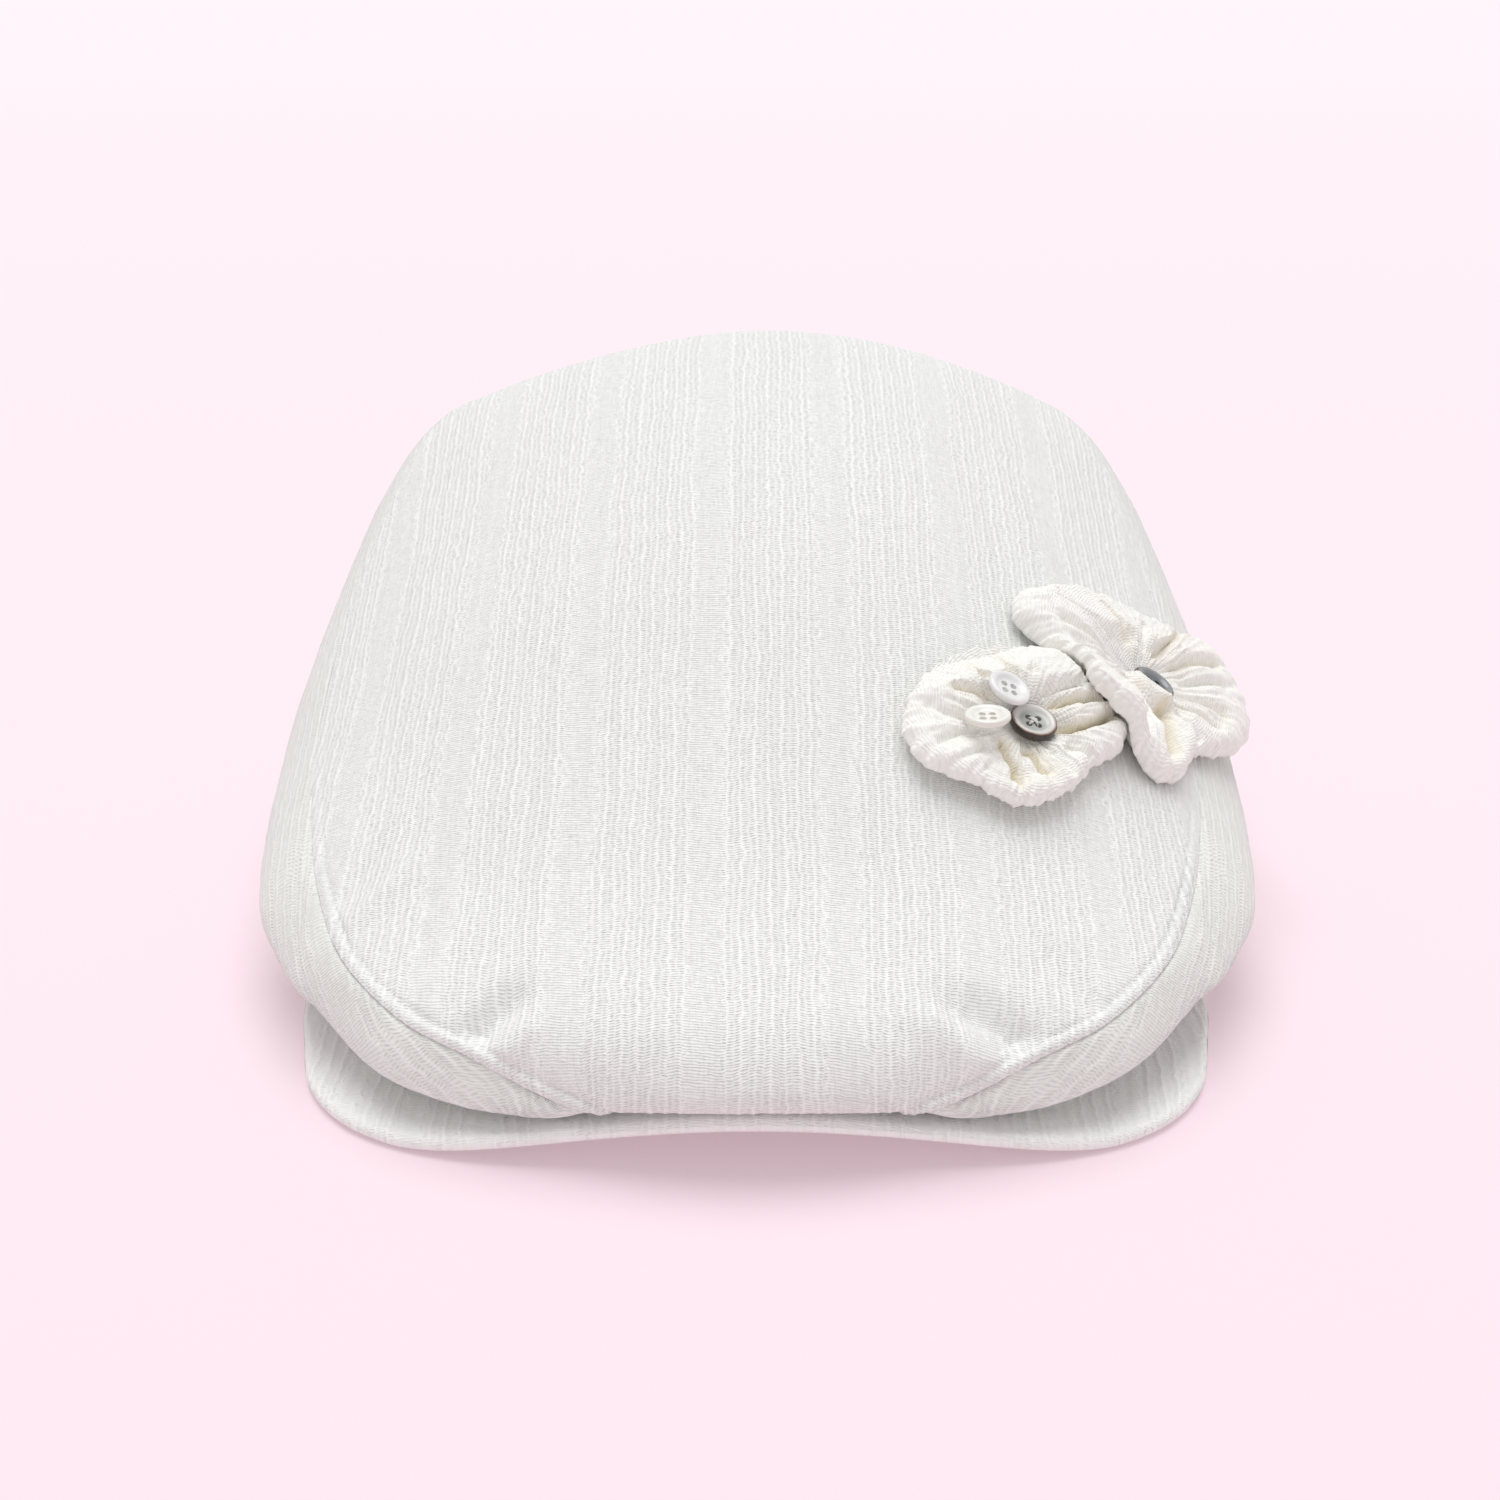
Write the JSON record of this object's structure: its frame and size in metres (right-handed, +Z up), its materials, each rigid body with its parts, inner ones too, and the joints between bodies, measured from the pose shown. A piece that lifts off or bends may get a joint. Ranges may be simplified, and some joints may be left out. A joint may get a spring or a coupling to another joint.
{
  "type": "flat cap",
  "caption": "Bulky flat cap in off-white crinkled striped cloth, with a short curved peak under its front fold and gathered cloth flowers with buttons on one side.",
  "frame": {"origin": "middle of the footprint, on the surface the cap rests on", "axes": "+Z up, -Y towards the peak, +X towards the wearer's left, where the flowers are"},
  "size_m": [0.224, 0.2558, 0.108],
  "materials": {
    "crown_cloth": "crinkled ribbed off-white cotton, matte",
    "peak_cloth": "the same ribbed cotton over a stiff peak, matte",
    "flower_cloth": "soft gathered cream cotton, matte",
    "dark_button": "dark grey shell-like resin, glossy",
    "clear_button": "clear moulded resin, glossy",
    "cream_button": "milky cream resin, glossy"
  },
  "bodies": {
    "root": {"top_panel": "crown_cloth", "side_panel_left": "crown_cloth", "side_panel_right": "crown_cloth", "peak": "peak_cloth", "flower_front": "flower_cloth", "flower_side": "flower_cloth", "button_dark_front": "dark_button", "button_dark_side": "dark_button", "button_clear": "clear_button", "button_cream": "cream_button"}
  },
  "joints": []
}
